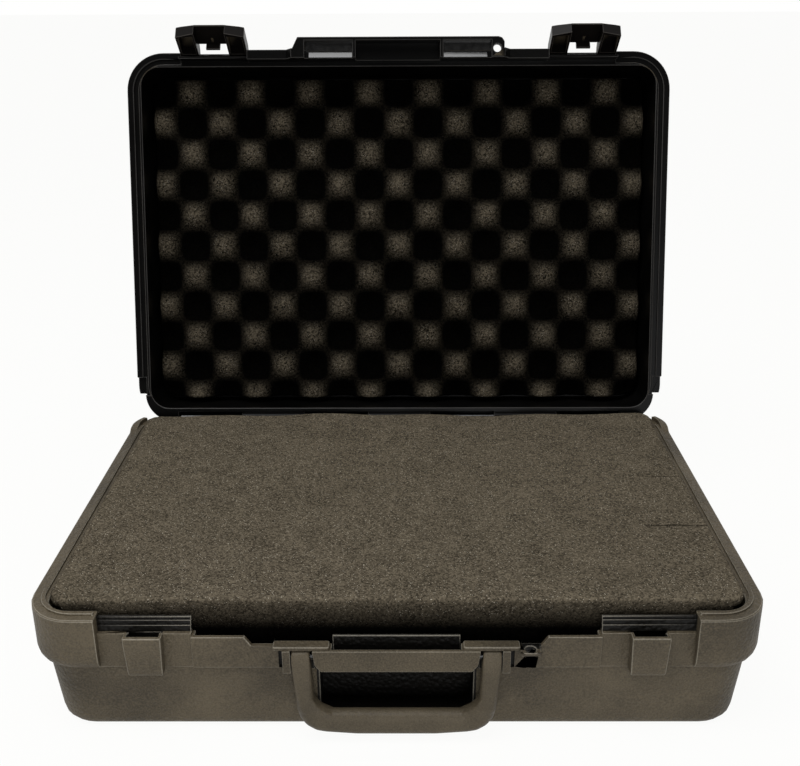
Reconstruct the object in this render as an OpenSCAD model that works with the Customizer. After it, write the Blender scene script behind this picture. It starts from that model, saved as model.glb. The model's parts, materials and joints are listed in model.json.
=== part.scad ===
// Laptop hard case with foam: two moulded shells on a full-width rod hinge,
// two snap latches, a bail handle, a scored foam block and an egg-crate lid foam.
// Millimetres, Z up. The origin is the centre of the base's footprint on the floor,
// the handle side faces -Y and the lid is drawn open.

/* [Case] */
// Outer width of the rim
case_w = 470; // [440:1:520]
// Outer depth of the rim
case_d = 322; // [300:1:360]
// Height of the base rim above the floor
base_h = 88; // [84:1:110]
// Height of the closed lid above its rim
lid_h = 50; // [44:1:70]
// Plan radius of the outer corners
corner_r = 32; // [28:1:38]
// Wall of the moulded shells
wall = 3.5; // [2.8:0.1:4.5]
// Width of the rim, from the outer face to the foam space
rim_w = 12; // [11:0.5:15]
// Gap between the closed rims
seam = 0.4; // [0.3:0.05:0.8]
// How far the lid is open in degrees
lid_open = 104.3; // [95:0.1:110]

/* [Base body] */
// How far the body stands in from the belt under the rim
body_inset = 6.5; // [5:0.5:8]
// Height at which the belt starts
belt_z = 50; // [46:1:60]
// Height over which the belt's lower edge rounds in
belt_round = 9; // [4:1:16]
// Draft of the body's side walls in degrees
side_draft = 6; // [2:0.5:8]
// Draft of the body's front and back walls in degrees
front_draft = 2.5; // [1:0.5:4]
// Radius of the bottom edge
bottom_r = 9; // [6:1:14]
// Plan radius of the foam space
inner_r = 16; // [14:1:24]
// Height of the raised rear corners above the rim
ear_h = 4; // [2:0.5:5]

/* [Front] */
// Half width of the recessed front between the corner blocks
front_half = 188; // [170:1:200]
// Centre distance of the latches
latch_span = 317; // [300:1:330]
// Width of a latch recess
latch_bay_w = 59; // [55:1:62]
// Depth of the latch recess behind the corner blocks
bay_depth = 5; // [4:0.25:6]
// Depth of the centre panel behind the corner blocks
panel_depth = 3.5; // [3:0.25:4]
// Top of the wall in the latch recesses
bay_top = 75.4; // [72:0.1:78]
// Top of the panels between the latches
panel_top = 73.5; // [70:0.1:76]
// Height of the shelf in the middle of the front
shelf_z = 67; // [63:0.1:69]
// Half width of that shelf
shelf_half = 91; // [90:1:93]
// Height of the tongue behind the latch recesses
tongue_top = 85; // [81:0.1:87]

/* [Hinge] */
// Radius of the knuckles
hinge_r = 4; // [3.5:0.1:5]
// Radius of the steel rod
rod_r = 1.75; // [1.2:0.05:2]
// Length of the knuckle row
hinge_len = 396; // [340:1:400]
// Number of knuckles, which is odd
knuckle_n = 7; // [5:2:11]

/* [Latches] */
// Width of a latch
latch_w = 58; // [54:0.5:58]
// Reach of a latch from its pin to its lip
latch_len = 33; // [30:0.5:38]
// Width of the lip between its chamfers
lip_w = 24; // [18:1:30]
// How far the latches are shown open in degrees
latch_open = 26; // [0:1:40]
// Skin of the latches
latch_skin = 2.4; // [1.8:0.1:3]
// Radius of a latch's barrel
latch_barrel_r = 2.9; // [2.6:0.1:3.2]
// Radius of a latch pin
latch_pin_r = 1.2; // [1:0.05:1.5]
// Width of a keeper
keeper_w = 24; // [20:0.5:26]
// Lower end of a keeper
keeper_bottom = 47.5; // [44:0.5:52]
// Upper end of a keeper
keeper_top = 76.8; // [74:0.1:78]

/* [Handle] */
// Outer width across the arms at the pivot
handle_w = 132; // [124:1:140]
// Outer width across the grip
grip_w = 127; // [118:1:134]
// Width of an arm
arm_w = 11.5; // [10:0.5:13]
// Height of the pivot above the floor
pivot_z = 61.3; // [58:0.1:63]
// Height of the grip bar
grip_h = 17.5; // [15:0.5:22]
// Thickness of the grip bar
grip_t = 13; // [10:0.5:14]
// Clear height of the hanging grip above the floor
grip_clear = 5; // [2:0.5:10]
// Outer corner radius of the grip
grip_r = 19; // [12:1:22]
// Radius of a handle pin
handle_pin_r = 1.6; // [1.2:0.1:2]

/* [Foam] */
// Height of the base foam above the rim
foam_rise = 7; // [4:0.5:10]
// Thickness of the loose pad under the scored block
pad_t = 12; // [8:1:16]
// Gap between the foam and the rim
foam_gap = 2; // [1:0.5:3]
// Distance from the lid's rim down to the foam peaks
peak_depth = 25; // [21:0.5:30]
// Depth of the foam's valleys below its peaks
valley_depth = 14; // [8:1:18]
// Width of one foam cell
cell_w = 26.5; // [22:0.5:32]
// Depth of one foam cell
cell_d = 27.4; // [22:0.2:32]

/* [Padlock eyes] */
// Sideways place of the padlock eye
eye_x = 84; // [82:0.5:85]
// Radius of the padlock hole
eye_r = 3.4; // [2.5:0.1:3.6]

/* [Hidden] */
$fn = 48;

shell_colour = [0.24, 0.215, 0.18];
latch_colour = [0.2, 0.18, 0.16];
foam_colour = [0.2, 0.185, 0.165];
steel_colour = [0.7, 0.7, 0.7];

// Running fit of the pins and the clearance of parts that move past each other
fit = 0.06;
free = 0.5;
eps = 0.02;
hw = case_w / 2;
hd = case_d / 2;
lid_z = base_h + seam;
axis_y = hd - hinge_r;
axis_z = base_h + seam / 2;
bay_y = -hd + bay_depth;
panel_y = -hd + panel_depth;
inner_w = case_w - 2 * rim_w;
inner_d = case_d - 2 * rim_w;
body_w = case_w - 2 * body_inset;
body_d = case_d - 2 * body_inset;
bay_x = latch_span / 2;
bay_in = bay_x - latch_bay_w / 2;

// Rounded rectangle outlines, their lofts and exact plates

function corner(cx, cy, r, a0, n) =
    [for (i = [0:n]) [cx + r * cos(a0 + 90 * i / n), cy + r * sin(a0 + 90 * i / n)]];

function outline(w, d, r, n = 7) = concat(
    corner(w / 2 - r, d / 2 - r, r, 0, n), corner(-w / 2 + r, d / 2 - r, r, 90, n),
    corner(-w / 2 + r, -d / 2 + r, r, 180, n), corner(w / 2 - r, -d / 2 + r, r, 270, n));

// Each ring is [width, depth, corner radius, height], from the lowest up
module loft(rings) {
    n = len(outline(100, 100, 10));
    m = len(rings);
    points = [for (g = rings) for (p = outline(g[0], g[1], g[2])) [p[0], p[1], g[3]]];
    sides = [for (k = [0:m - 2]) for (i = [0:n - 1]) let (j = (i + 1) % n, a = k * n, b = a + n)
        each [[a + i, b + i, b + j], [a + i, b + j, a + j]]];
    bottom = [for (i = [0:n - 1]) i];
    top = [for (i = [n - 1:-1:0]) (m - 1) * n + i];
    polyhedron(points, concat([bottom], sides, [top]), convexity = 4);
}

module plate2d(w, d, r) {
    square([w - 2 * r, d], center = true);
    square([w, d - 2 * r], center = true);
    for (sx = [-1, 1], sy = [-1, 1]) translate([sx * (w / 2 - r), sy * (d / 2 - r)]) circle(r);
}

module block(x0, x1, y0, y1, z0, z1) translate([x0, y0, z0]) cube([x1 - x0, y1 - y0, z1 - z0]);

// A profile drawn in Y and Z, run along X from x0 to x1
module run_x(x0, x1) translate([x0, 0, 0]) rotate([90, 0, 90]) linear_extrude(x1 - x0) children();

// A rod along X
module rod_x(x0, x1, y, z, r) translate([x0, y, z]) rotate([0, 90, 0]) cylinder(r = r, h = x1 - x0);

module both_sides() {
    children();
    mirror([1, 0, 0]) children();
}

// Base shell

rise_side = (belt_z - bottom_r) * tan(side_draft);
rise_front = (belt_z - bottom_r) * tan(front_draft);

module base_body() {
    low_w = body_w - 2 * rise_side;
    low_d = body_d - 2 * rise_front;
    low_r = corner_r - body_inset;
    fillet = [for (i = [0:4]) let (a = 22.5 * i, c = bottom_r * (1 - sin(a)))
        [low_w - 2 * c, low_d - 2 * c, low_r - 0.6 * c, bottom_r * (1 - cos(a))]];
    loft(concat(fillet, [[body_w, body_d, low_r, belt_z + 2]]));
}

module base_belt() {
    edge = 0.8;
    lower = [for (i = [0:4]) let (a = 22.5 * i, c = body_inset * (1 - sin(a)))
        [case_w - 2 * c, case_d - 2 * c, corner_r - c, belt_z + belt_round * (1 - cos(a))]];
    loft(concat(lower, [[case_w, case_d, corner_r, base_h - edge],
                        [case_w - 2 * edge, case_d - 2 * edge, corner_r - edge, base_h]]));
}

module base_cavity() {
    low_w = body_w - 2 * rise_side - 2 * wall;
    low_d = body_d - 2 * rise_front - 2 * wall;
    low_z = bottom_r;
    ease = bottom_r - wall;
    loft([[low_w - 2 * ease, min(low_d, inner_d) - 2 * ease, inner_r - 2, wall],
          [low_w - ease / 2, min(low_d, inner_d) - ease / 2, inner_r, wall + ease / 2],
          [low_w, min(low_d, inner_d), inner_r, low_z],
          [inner_w, inner_d, inner_r, belt_z],
          [inner_w, inner_d, inner_r, base_h + 10]]);
}

// The front wall steps back and down between the corner blocks: a recess for each latch
// with a stepped tongue behind it, a thin flat panel, and a low shelf in the middle.
tongue_t = 2.2;
tongue_step = 1.15;
panel_t = 3.2;
inner_y = -hd + rim_w;
skirt_in = inner_y - 3.8;

module base_front_cut() {
    top = base_h + 10;
    // trough behind the panels, open to the foam space
    block(-bay_in + 2, bay_in - 2, panel_y + panel_t, inner_y + 2, belt_z + 5, top);
    both_sides() {
        // the latch bay, its face and its stepped top
        run_x(bay_in, front_half) polygon([
            [-hd - 1, belt_z - 1], [bay_y, belt_z - 1], [bay_y, bay_top],
            [inner_y - tongue_t - 2 * tongue_step, bay_top],
            [inner_y - tongue_t - 2 * tongue_step, tongue_top - 5],
            [inner_y - tongue_t - tongue_step, tongue_top - 5],
            [inner_y - tongue_t - tongue_step, tongue_top - 2],
            [inner_y - tongue_t, tongue_top - 2], [inner_y - tongue_t, tongue_top],
            [inner_y + 2, tongue_top], [inner_y + 2, top], [-hd - 1, top]]);
        // the panel and the middle, which has a bevel down to the shelf
        run_x(-eps, bay_in + eps) polygon([
            [-hd - 1, belt_z - 1], [panel_y, belt_z - 1], [panel_y, panel_top],
            [inner_y + 2, panel_top], [inner_y + 2, top], [-hd - 1, top]]);
        translate([0, inner_y + 2, 0]) rotate([90, 0, 0]) linear_extrude(rim_w + 6) polygon([
            [-1, shelf_z], [shelf_half, shelf_z], [shelf_half + 4.5, panel_top + eps],
            [-1, panel_top + eps]]);
    }
}

// Finger space behind the grip
recess_half = 49;
recess_depth = 17;
recess_z0 = 13;
recess_z1 = belt_z + 1.5;

module finger_recess(grow = 0) {
    y1 = -hd + body_inset + recess_depth + grow;
    both_sides() translate([0, y1, 0]) rotate([90, 0, 0]) linear_extrude(recess_depth + body_inset + grow)
        polygon([[-eps, recess_z0 - grow], [recess_half - 3 + grow, recess_z0 - grow],
                 [recess_half + grow, recess_z0 + 3], [recess_half + grow, recess_z1 - 5],
                 [recess_half - 3 + grow, recess_z1 + grow], [-eps, recess_z1 + grow]]);
}

// Handle seat: a proud middle panel and outer lugs carry the pins, roofs cover the arms
pivot_y = panel_y - 2;
eye_boss_r = 5;
arm_x = handle_w / 2 - arm_w / 2;
slot_in = arm_x - arm_w / 2 - free - max(0, handle_w - grip_w) / 4;
slot_out = arm_x + arm_w / 2 + free;
lug_front = pivot_y - 4;
lug_w = 5;
roof_t = 2.5;
roof_in = 42;
roof_out = 77.5;
flange_front = lug_front - 2.5;
flange_t = 3;
roof_front = flange_front + flange_t + free;
eye_y = lug_front + 3;

module handle_seat() {
    back = panel_y + 1;
    inner_edge = slot_in;
    // middle panel, drawn in towards its lower edge
    translate([0, back, 0]) rotate([90, 0, 0]) linear_extrude(back - lug_front)
        polygon([[-inner_edge, shelf_z], [-inner_edge + 1.5, belt_z + 6], [-inner_edge + 5, recess_z1],
                 [inner_edge - 5, recess_z1], [inner_edge - 1.5, belt_z + 6], [inner_edge, shelf_z]]);
    both_sides() {
        block(slot_out, slot_out + lug_w, lug_front, back, belt_z + 0.5, shelf_z);
        // roof over the arm and the lugs, with its back over the panel's top
        translate([(roof_in + roof_out) / 2, (roof_front + back + 2) / 2, shelf_z - eps])
            linear_extrude(roof_t + eps) plate2d(roof_out - roof_in, back + 2 - roof_front, 1.5);
    }
    // padlock plate
    translate([eye_x, (flange_front + 1 + back) / 2, shelf_z - roof_t])
        linear_extrude(roof_t) plate2d(13, back - flange_front - 1, 1.5);
}

// Low lip between the roofs, which stands on the floor of the trough
module low_lip() block(-roof_in + 1.5, roof_in - 1.5, skirt_in + 0.4, skirt_in + 2.4,
                       belt_z + 3, shelf_z + 4.5);

module handle_seat_cuts() {
    both_sides() {
        // slot in which the arm's eye turns
        block(slot_in, slot_out, -hd - 12, pivot_y + eye_boss_r + free, belt_z - 2, shelf_z);
        // dark slit beside the outer lug
        slit_x = slot_out + lug_w;
        block(slit_x, slit_x + 3, -hd - 12, panel_y + panel_t - 1, belt_z + 0.7, shelf_z - 1);
        rod_x(arm_x - 11, arm_x + 11, pivot_y, pivot_z, handle_pin_r + fit);
    }
    // hollow between the middle panel's skin and the low lip
    block(-roof_in + 1.5, roof_in - 1.5, lug_front + 3, skirt_in + 0.4, shelf_z - 9, shelf_z + 1);
    // two slits under the padlock plate
    for (dx = [-2.8, 2.8]) block(eye_x + dx - 0.8, eye_x + dx + 0.8, -hd - 12, panel_y + panel_t - 1,
                                 belt_z + 1.5, shelf_z - roof_t - 0.5);
    translate([eye_x, eye_y, shelf_z - roof_t - 1]) cylinder(r = eye_r, h = roof_t + 2);
}

// Keepers: a plate in front of a pocket in the wall's top
keeper_front = bay_y - 8;
keeper_t = 3.2;
pocket_h = 11;

module keeper() {
    half = keeper_w / 2;
    difference() {
        translate([bay_x, bay_y + 1, 0]) rotate([90, 0, 0]) linear_extrude(bay_y + 1 - keeper_front)
            polygon([[-half + 1, keeper_bottom], [half - 1, keeper_bottom],
                     [half, keeper_top - 4], [half, keeper_top], [-half, keeper_top],
                     [-half, keeper_top - 4]]);
        // the front leans in towards its lower end and its lower edge is rounded off
        run_x(bay_x - half - 1, bay_x + half + 1) polygon([
            [keeper_front - 1, keeper_bottom - 1], [keeper_front + 3.2, keeper_bottom - 1],
            [keeper_front + 1.4, keeper_bottom + 3], [keeper_front, keeper_top - 6],
            [keeper_front - 1, keeper_top - 6]]);
        // above the wall the sides end in front of the lid's skirt
        block(bay_x - half - 1, bay_x + half + 1, bay_y - free, bay_y + 2, bay_top, keeper_top + 1);
    }
}

module keeper_pocket() block(bay_x - keeper_w / 2 + 2, bay_x + keeper_w / 2 - 2,
                             keeper_front + keeper_t, bay_y + 2.4, keeper_top - pocket_h, keeper_top + 1);

// Raised bead that fits the lid's groove, with a gap in front
bead_in = 6;
bead_w = 3;
bead_h = 1.5;

module bead() {
    difference() {
        translate([0, 0, base_h - eps]) linear_extrude(bead_h + eps) difference() {
            plate2d(case_w - 2 * bead_in, case_d - 2 * bead_in, corner_r - bead_in);
            plate2d(case_w - 2 * (bead_in + bead_w), case_d - 2 * (bead_in + bead_w),
                    corner_r - bead_in - bead_w);
        }
        block(-front_half - 1.5, front_half + 1.5, -hd, -hd + rim_w, base_h - 1, base_h + 9);
        block(-hw, hw, rear_y, hd, base_h - 1, base_h + 9);
    }
}

// Rear corners: the lid is narrower behind rear_y and turns between two raised ears
rear_y = axis_y - 20.5;
ear_end = axis_y - 7.5;
lid_rear_inset = 7;
lid_rear_r = 24.5;

module lid_rear2d(grow = 0) {
    half = hw - lid_rear_inset + grow;
    r = lid_rear_r + grow;
    translate([-half, -hd + 40]) square([2 * half, case_d - 40 - lid_rear_r]);
    square([2 * (half - r), 2 * (hd + grow)], center = true);
    for (s = [-1, 1]) translate([s * (half - r), hd - lid_rear_r]) circle(r);
}

module ears() {
    // a ramp, a low crown and the rounded outer corner, cut round the lid's corner
    intersection() {
        translate([0, 0, base_h - 3]) linear_extrude(ear_h + 3) difference() {
            plate2d(case_w - 1, case_d - 1, corner_r - 0.5);
            lid_rear2d(0.6);
        }
        run_x(-hw, hw) polygon([
            [rear_y - 14, base_h - 3], [rear_y - 14, base_h - 0.2], [rear_y - 8, base_h + 0.8 * ear_h],
            [rear_y - 2, base_h + ear_h], [ear_end - 2, base_h + ear_h], [ear_end, base_h + 0.7 * ear_h],
            [ear_end, base_h - 3]]);
    }
}

// Space below the open lid's rear wall, which comes to rest on the slope left here
module rear_relief() {
    cut_r = hinge_r + free + 0.1;
    back = hd + 2;
    rest_gap = 0.3;
    intersection() {
        union() {
            rod_x(-hw, hw, axis_y, axis_z, cut_r);
            translate([0, axis_y, axis_z]) run_x(-hw, hw) rotate(-(lid_open - 90)) polygon([
                [-cut_r, -hinge_r - rest_gap], [4 * hinge_r, -hinge_r - rest_gap],
                [4 * hinge_r, 6 * hinge_r], [-cut_r, hinge_r]]);
        }
        translate([0, 0, base_h - 30]) linear_extrude(60) lid_rear2d(0.6);
        block(-hw, hw, axis_y - cut_r, back, base_h - 30, base_h + 30);
    }
}

// Knuckles: the base has the odd ones and the lid the even ones
knuckle_pitch = hinge_len / knuckle_n;
knuckle_gap = 0.6;

function knuckle_x(i) = -hinge_len / 2 + i * knuckle_pitch;

module base_knuckles() for (i = [0:2:knuckle_n - 1]) {
    x0 = knuckle_x(i) + knuckle_gap / 2;
    x1 = knuckle_x(i + 1) - knuckle_gap / 2;
    rod_x(x0, x1, axis_y, axis_z, hinge_r);
    block(x0, x1, axis_y - hinge_r, hd, axis_z - 3 * hinge_r, axis_z);
}

module lid_knuckles() for (i = [1:2:knuckle_n - 2]) {
    x0 = knuckle_x(i) + knuckle_gap / 2;
    x1 = knuckle_x(i + 1) - knuckle_gap / 2;
    rod_x(x0, x1, axis_y, axis_z, hinge_r);
    block(x0, x1, axis_y - hinge_r, hd, axis_z, axis_z + 2 * hinge_r);
}

// Notches in the lid for the base's knuckles and their webs as the lid swings
module knuckle_notches() for (i = [0:2:knuckle_n - 1])
    block(knuckle_x(i) - knuckle_gap / 2, knuckle_x(i + 1) + knuckle_gap / 2,
          axis_y - hinge_r - free - 0.2, hd + 1, axis_z - 2, axis_z + hinge_r + 2);

module rod_bore() rod_x(-hinge_len / 2 + 1, hinge_len / 2 + 1, axis_y, axis_z, rod_r + fit);

module base_shell() color(shell_colour) difference() {
    union() {
        difference() {
            union() {
                difference() {
                    union() { base_body(); base_belt(); }
                    base_cavity();
                }
                intersection() {
                    finger_recess(wall);
                    base_body();
                }
            }
            base_front_cut();
        }
        difference() {
            union() { ears(); bead(); }
            base_cavity();
        }
        both_sides() keeper();
        handle_seat();
        low_lip();
    }
    finger_recess();
    handle_seat_cuts();
    both_sides() keeper_pocket();
    difference() {
        rear_relief();
        base_knuckles();
    }
    rod_bore();
}

// Lid shell, drawn closed and then turned open

module hinge_turn(angle) translate([0, axis_y, axis_z]) rotate([-angle, 0, 0])
    translate([0, -axis_y, -axis_z]) children();

band_h = 22;
crown_draft = 2;
crown_r = 9;

module lid_outline() {
    intersection() {
        plate2d(case_w, case_d, corner_r);
        translate([-hw, -hd]) square([case_w, hd + rear_y]);
    }
    intersection() {
        lid_rear2d();
        translate([-hw, 0]) square([case_w, hd]);
    }
}

module lid_body() {
    // the belt round the rim
    intersection() {
        translate([0, 0, lid_z]) linear_extrude(band_h) lid_outline();
        loft([[case_w, case_d, corner_r - 4, lid_z - 1], [case_w, case_d, corner_r - 4, lid_z + band_h - 6],
              [case_w - 3, case_d - 3, corner_r - 5, lid_z + band_h - 1.6],
              [case_w - 8, case_d - 8, corner_r - 8, lid_z + band_h]]);
    }
    // the drafted crown
    low = 2 * body_inset;
    high = low + 2 * crown_draft;
    ring_r = corner_r - body_inset;
    fillet = [for (i = [0:4]) let (a = 22.5 * i, c = crown_r * (1 - cos(a)))
        [case_w - high - 2 * c, case_d - high - 2 * c, ring_r - 0.6 * c,
         lid_z + lid_h - crown_r * (1 - sin(a))]];
    loft(concat([[case_w - low, case_d - low, ring_r, lid_z + 4]], fillet));
}

module lid_cavity() {
    top = lid_z + lid_h - wall;
    ease = 4;
    loft([[inner_w, inner_d, inner_r, lid_z - 30], [inner_w, inner_d, inner_r, lid_z],
          [inner_w - 2, inner_d - 2, inner_r, top - ease],
          [inner_w - 4, inner_d - 4, inner_r - 1, top - ease / 4], [inner_w - 7, inner_d - 7, inner_r - 2, top]]);
}

// The lid's front wall reaches down over the stepped base: thin behind the latches,
// flush over the panels, and in the middle a proud flange with a window over each roof.
flange_half = shelf_half - 6;
flange_z = shelf_z + seam + 0.2;
eye_tab = 6.5;
window_in = 38.5;
window_out = 79;
skirt_back = inner_y - tongue_t - 2 * tongue_step - 0.4;

module lid_front() {
    up = lid_z + 6;
    both_sides() {
        block(bay_in - free, front_half - free, bay_y, skirt_back, bay_top + seam, up);
        block(shelf_half + 5, bay_in - free / 2, panel_y, skirt_in, panel_top + seam, up);
    }
    translate([0, skirt_in, 0]) rotate([90, 0, 0]) linear_extrude(skirt_in - panel_y) polygon([
        [-shelf_half - 5 - eps, panel_top + seam], [-shelf_half - 4, panel_top + seam],
        [-shelf_half + 0.5, flange_z], [shelf_half - 0.5, flange_z],
        [shelf_half + 4, panel_top + seam], [shelf_half + 5 + eps, panel_top + seam],
        [shelf_half + 5, up], [-shelf_half - 5, up]]);
    // proud flange with bevelled ends
    translate([0, 0, flange_z]) linear_extrude(up + 6 - shelf_z) polygon([
        [-flange_half - 5, panel_y + 1], [-flange_half - 4, panel_y - 1], [-flange_half, flange_front],
        [flange_half, flange_front], [flange_half + 3, flange_front + 1], [flange_half + 5, flange_front + 4],
        [flange_half + 5, panel_y + 1]]);
}

module lid_front_cuts() {
    both_sides() {
        // window over the roof, open above and below
        block(window_in, window_out, flange_front + flange_t, skirt_in + 1, shelf_z - 2, shelf_z + roof_t + 2);
        block(window_in, window_out, flange_front + flange_t, -hd + 2, shelf_z + 2, lid_z + 14);
        // latch bay in the belt
        block(bay_in, bay_in + latch_bay_w, -hd - 1, bay_y + 0.2, lid_z - 20, latch_pin_z + 10);
        // pin bore through the bay's cheeks
        rod_x(bay_in - 4, bay_in + latch_bay_w + 4, latch_pin_y, latch_pin_z, latch_pin_r + fit);
    }
    // hollow under the middle block
    block(-window_in + 3, window_in - 3, flange_front + flange_t, skirt_in + 1, shelf_z - 2, lid_z - 6);
    // padlock eye, and a notch over its tab up through the belt
    translate([eye_x, eye_y, flange_z - 1]) cylinder(r = eye_r, h = eye_tab + 2);
    block(window_out + 1, flange_half + 8, flange_front - 2, eye_y + eye_r + 0.3,
          flange_z + eye_tab, lid_z + band_h + 1);
}

module lid_groove() {
    side = 0.5;
    difference() {
        translate([0, 0, lid_z - 1]) linear_extrude(bead_h + 1.6) difference() {
            plate2d(case_w - 2 * (bead_in - side), case_d - 2 * (bead_in - side), corner_r - bead_in + side);
            plate2d(case_w - 2 * (bead_in + bead_w + side), case_d - 2 * (bead_in + bead_w + side),
                    corner_r - bead_in - bead_w - side);
        }
        block(-front_half, front_half, -hd, -hd + rim_w, lid_z - 2, lid_z + 9);
        block(-hw, hw, rear_y + 1, hd, lid_z - 2, lid_z + 9);
    }
}

// The belt is relieved over the ramps of the ears
module ear_relief() both_sides()
    block(hw - lid_rear_inset - 0.5, hw + 1, rear_y - 15, rear_y + 1, lid_z - 1, base_h + ear_h + 1);

module lid_closed() difference() {
    union() {
        difference() {
            union() { lid_body(); lid_front(); }
            lid_cavity();
        }
        lid_knuckles();
    }
    lid_front_cuts();
    lid_groove();
    ear_relief();
    knuckle_notches();
    rod_bore();
}

module lid_shell() color(shell_colour) hinge_turn(lid_open) lid_closed();

module hinge_rod() color(steel_colour)
    rod_x(-hinge_len / 2 + 2, hinge_len / 2 - 0.5, axis_y, axis_z, rod_r);

// Latches

latch_pin_y = -hd + 1.8;
latch_pin_z = lid_z + 3;
latch_rim = 2;
channel_half = keeper_w / 2 + 0.9;

module latch_closed() {
    half = latch_w / 2;
    front = keeper_front - free - latch_skin;
    back = bay_y - 0.9;
    reach = latch_len;
    translate([bay_x, 0, latch_pin_z]) difference() {
        union() {
            difference() {
                // the body seen from the front, with chamfered lower corners
                translate([0, back, 0]) rotate([90, 0, 0]) linear_extrude(back - front) polygon([
                    [-half, 2], [-half, -reach + 5], [-lip_w / 2, -reach],
                    [lip_w / 2, -reach], [half, -reach + 5], [half, 2]]);
                // the top edge and the lip are rounded off towards the front
                run_x(-half - 1, half + 1) polygon([
                    [front - 1, 3], [latch_pin_y, 3], [latch_pin_y - 1, 2], [front + 2, -1],
                    [front, -4], [front - 1, -4]]);
                run_x(-half - 1, half + 1) polygon([
                    [front - 1, -reach - 1], [front + 1.5, -reach - 1], [front, -reach + 4],
                    [front - 1, -reach + 4]]);
                // wings hollowed from behind
                both_sides() {
                    translate([0, back + 1, 0]) rotate([90, 0, 0])
                        linear_extrude(back + 1 - front - latch_skin) polygon([
                            [channel_half + latch_rim, -5], [half - latch_rim, -5],
                            [half - latch_rim, -reach + 7], [channel_half + latch_rim, -reach + 4.6]]);
                }
                // channel that goes over the keeper
                block(-channel_half, channel_half, keeper_front - free, back + 1, -reach + 2, 3);
                block(-channel_half, channel_half, keeper_front - free, back + 1, -reach - 1, -reach + 4);
                // window in the channel's skin beside the pin
                block(-channel_half, channel_half, front - 1, back + 1, -8.5, 3);
            }
            // barrels round the pin
            both_sides() rod_x(channel_half, half, latch_pin_y, 0, latch_barrel_r);
            // nose that snaps over the keeper's top and the rib between the two cells
            block(-6, 6, front + 0.5, latch_pin_y + 1, -10.6, -8.4);
            block(-0.9, 0.9, front + 0.5, keeper_front - free + eps, -17, -10);
        }
        block(-half - 1, half + 1, latch_pin_y + latch_barrel_r, back + 2, -4.5, 4);
        rod_x(-half - 1, half + 1, latch_pin_y, 0, latch_pin_r + fit);
    }
}

module latch_turn() translate([0, latch_pin_y, latch_pin_z]) rotate([-latch_open, 0, 0])
    translate([0, -latch_pin_y, -latch_pin_z]) children();

module latch_right() color(latch_colour) hinge_turn(lid_open) latch_turn() latch_closed();

module latch_left() color(latch_colour) hinge_turn(lid_open) latch_turn() mirror([1, 0, 0]) latch_closed();

module latch_pin_closed() rod_x(bay_in - 3, bay_in + latch_bay_w + 3, latch_pin_y, latch_pin_z, latch_pin_r);

module latch_pin_right() color(steel_colour) hinge_turn(lid_open) latch_pin_closed();

module latch_pin_left() color(steel_colour) hinge_turn(lid_open) mirror([1, 0, 0]) latch_pin_closed();

// Handle

grip_y = -hd + body_inset - 1.5 - grip_t / 2;

module handle() color(latch_colour) difference() {
    union() {
        both_sides() hull() {
            rod_x(arm_x - arm_w / 2, arm_x + arm_w / 2, pivot_y, pivot_z, eye_boss_r);
            translate([grip_w / 2 - arm_w / 2, grip_y - 0.5, grip_clear + grip_r])
                cylinder(r = arm_w / 2, h = 1, $fn = 32);
        }
        grip();
    }
    both_sides() rod_x(arm_x - 11, arm_x + 11, pivot_y, pivot_z, handle_pin_r + fit);
}

// The bar's lower edge bows down a little and its outer corners are round
module grip() {
    round_r = grip_t / 2 - 0.5;
    bow = 1.5;
    top = grip_clear + grip_h;
    bend_x = grip_w / 2 - grip_r;
    bend_z = grip_clear + bow + grip_r;
    module ball(x, z) translate([x, grip_y, z]) sphere(round_r, $fn = 20);
    module bend(angles) for (a = angles)
        ball(bend_x + (grip_r - round_r) * sin(a), bend_z - (grip_r - round_r) * cos(a));
    // the bar
    hull() both_sides() {
        bend([0:22.5:45]);
        ball(grip_w / 5, grip_clear + round_r);
        ball(bend_x, top - round_r);
    }
    // the outer corners
    both_sides() hull() {
        bend([22.5:22.5:90]);
        ball(bend_x, top - round_r);
    }
    // curved fillets in the inner corners
    both_sides() translate([0, grip_y + 4.5, 0]) rotate([90, 0, 0]) linear_extrude(9)
        polygon([[bend_x - 3, top - 3], [bend_x - 3, top - 0.8], [bend_x + 2.5, top + 2],
                 [bend_x + 6, top + 5.5], [bend_x + 8.5, top + 10], [bend_x + 12, top + 10],
                 [bend_x + 12, top - 3]]);
}

module handle_pin_right() color(steel_colour)
    rod_x(arm_x - 10.5, arm_x + 10.5, pivot_y, pivot_z, handle_pin_r);

module handle_pin_left() color(steel_colour) mirror([1, 0, 0])
    rod_x(arm_x - 10.5, arm_x + 10.5, pivot_y, pivot_z, handle_pin_r);

// Foam

foam_w = inner_w - 2 * foam_gap;
foam_d = inner_d - 2 * foam_gap;
foam_r = 11;
foam_top = base_h + foam_rise;
foam_side = 0.8;

function cavity_w(z) = let (low = body_w - 2 * rise_side - 2 * wall, t = min(1, (z - bottom_r) / (belt_z - bottom_r)))
    low + t * (inner_w - low);

module finger_notch() block(-recess_half - wall - 1.5, recess_half + wall + 1.5, -hd,
    -hd + body_inset + recess_depth + wall + 1, 0, recess_z1 + wall + 1.5);

module base_foam() color(foam_colour) difference() {
    soft = 5;
    z0 = wall + pad_t + 0.3;
    loft([[cavity_w(z0) - 2 * foam_side - 2, foam_d - 1, foam_r + 4, z0],
          [foam_w, foam_d, foam_r + 3, belt_z],
          [foam_w, foam_d, foam_r, foam_top - soft],
          [foam_w - 0.6 * soft, foam_d - 0.6 * soft, foam_r, foam_top - 0.3 * soft],
          [foam_w - 2 * soft, foam_d - 2 * soft, foam_r - 3, foam_top]]);
    finger_notch();
}

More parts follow.
